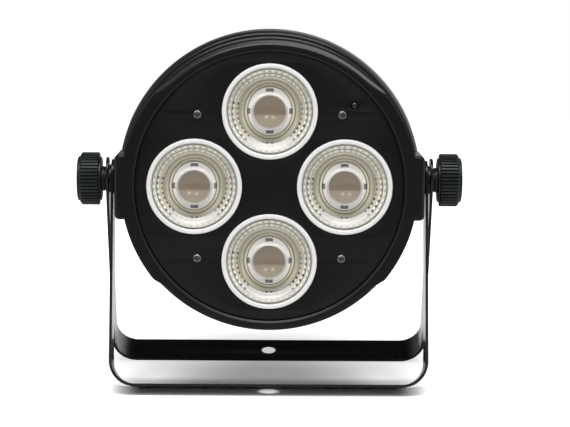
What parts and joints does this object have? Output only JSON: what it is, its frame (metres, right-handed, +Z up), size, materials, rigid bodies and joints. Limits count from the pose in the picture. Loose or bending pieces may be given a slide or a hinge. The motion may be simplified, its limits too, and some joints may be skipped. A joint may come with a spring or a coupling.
{
  "type": "led wash light",
  "caption": "Round flat LED wash light with lenses in a recessed face, clamped by two ribbed knobs between a pair of strip brackets that serve as stand or hanging yoke.",
  "frame": {"origin": "middle of the object's bounding box on the floor", "axes": "+X along the pivot axis to the right seen from the front, +Y from front to back, +Z up; the light shines towards -Y"},
  "size_m": [0.2718, 0.1222, 0.2494],
  "materials": {
    "housing": "satin black moulding",
    "panel": "fine matt black paint",
    "bracket": "satin black powder coat",
    "knob": "moulded black plastic",
    "lens": "clear pebbled optic",
    "holder": "white moulding",
    "emitter": "cream phosphor",
    "screw": "bright zinc plate",
    "dark_steel": "blackened steel",
    "stud": "zinc plated thread",
    "brass": "turned brass",
    "rubber": "matt rubber",
    "sink": "cast and milled",
    "board": "solder resist",
    "light_board": "white solder resist",
    "window": "smoked window",
    "socket": "black socket moulding"
  },
  "bodies": {
    "rear_bracket": {"rear_bracket": "bracket"},
    "front_bracket": {"front_bracket": "bracket", "spacer_washer_right": "dark_steel", "spacer_washer_left": "dark_steel"},
    "head": {"front_housing": "housing", "front_panel": "panel", "rear_housing": "housing", "back_panel": "panel", "heat_sink": "sink", "light_board": "light_board", "sensor_window": "window", "lens_holder_top": "holder", "lens_top": "lens", "emitter_top": "emitter", "lens_holder_right": "holder", "lens_right": "lens", "emitter_right": "emitter", "lens_holder_bottom": "holder", "lens_bottom": "lens", "emitter_bottom": "emitter", "lens_holder_left": "holder", "lens_left": "lens", "emitter_left": "emitter", "panel_screw_1": "screw", "panel_screw_2": "screw", "panel_screw_3": "screw", "panel_screw_4": "screw", "back_screw_1": "dark_steel", "back_screw_2": "dark_steel", "back_screw_3": "dark_steel", "back_screw_4": "dark_steel", "supply_board": "board", "driver_board": "board", "control_board": "board", "display_window": "window", "data_in_socket": "socket", "data_out_socket": "socket", "mains_inlet": "socket", "mains_outlet": "socket", "fuse_holder": "socket", "safety_eye": "stud", "pivot_insert_right": "brass", "pivot_insert_left": "brass", "rubber_washer_right": "rubber", "rubber_washer_left": "rubber"},
    "captive_washer_right": {"captive_washer_right": "dark_steel"},
    "knob_right": {"knob_right": "knob", "stud_right": "stud"},
    "captive_washer_left": {"captive_washer_left": "dark_steel"},
    "knob_left": {"knob_left": "knob", "stud_left": "stud"},
    "menu_button": {"menu_button": "socket"},
    "up_button": {"up_button": "socket"},
    "down_button": {"down_button": "socket"},
    "enter_button": {"enter_button": "socket"},
    "data_latch": {"data_latch": "stud"},
    "fuse_cap": {"fuse_cap": "socket"}
  },
  "joints": [
    {"name": "head_tilt", "type": "hinge", "parent": "rear_bracket", "child": "head", "pos_m": [0, -0.00547, 0.14455], "axis": [1, 0, 0], "continuous": true},
    {"name": "bracket_fold", "type": "hinge", "parent": "rear_bracket", "child": "front_bracket", "pos_m": [0, -0.00547, 0.14455], "axis": [1, 0, 0], "range_deg": [-130, 37.45]},
    {"name": "knob_right_travel", "type": "slide", "parent": "head", "child": "captive_washer_right", "axis": [1, 0, 0], "range_m": [0, 0.0025]},
    {"name": "knob_right_turn", "type": "hinge", "parent": "captive_washer_right", "child": "knob_right", "pos_m": [0, -0.00547, 0.14455], "axis": [1, 0, 0], "range_deg": [0, 720]},
    {"name": "knob_left_travel", "type": "slide", "parent": "head", "child": "captive_washer_left", "axis": [-1, 0, 0], "range_m": [0, 0.0025]},
    {"name": "knob_left_turn", "type": "hinge", "parent": "captive_washer_left", "child": "knob_left", "pos_m": [0, -0.00547, 0.14455], "axis": [-1, 0, 0], "range_deg": [0, 720]},
    {"name": "menu_press", "type": "slide", "parent": "head", "child": "menu_button", "axis": [0, -0.9963, 0.0863], "range_m": [0, 0.0007], "stiffness_N_per_m": 400, "springref_m": -0.0003},
    {"name": "up_press", "type": "slide", "parent": "head", "child": "up_button", "axis": [0, -0.9963, 0.0863], "range_m": [0, 0.0007], "stiffness_N_per_m": 400, "springref_m": -0.0003},
    {"name": "down_press", "type": "slide", "parent": "head", "child": "down_button", "axis": [0, -0.9963, 0.0863], "range_m": [0, 0.0007], "stiffness_N_per_m": 400, "springref_m": -0.0003},
    {"name": "enter_press", "type": "slide", "parent": "head", "child": "enter_button", "axis": [0, -0.9963, 0.0863], "range_m": [0, 0.0007], "stiffness_N_per_m": 400, "springref_m": -0.0003},
    {"name": "latch_press", "type": "slide", "parent": "head", "child": "data_latch", "axis": [0, -0.9963, 0.0863], "range_m": [0, 0.001], "stiffness_N_per_m": 400, "springref_m": -0.0003},
    {"name": "fuse_cap_turn", "type": "hinge", "parent": "head", "child": "fuse_cap", "pos_m": [0, 0.03848, 0.11432], "axis": [0, 0.9963, -0.0863], "range_deg": [-60, 0]}
  ],
  "couplings": [
    {"joint": "knob_right_turn", "follows": "knob_right_travel", "rad_per_m": 5026},
    {"joint": "knob_left_turn", "follows": "knob_left_travel", "rad_per_m": 5026}
  ]
}
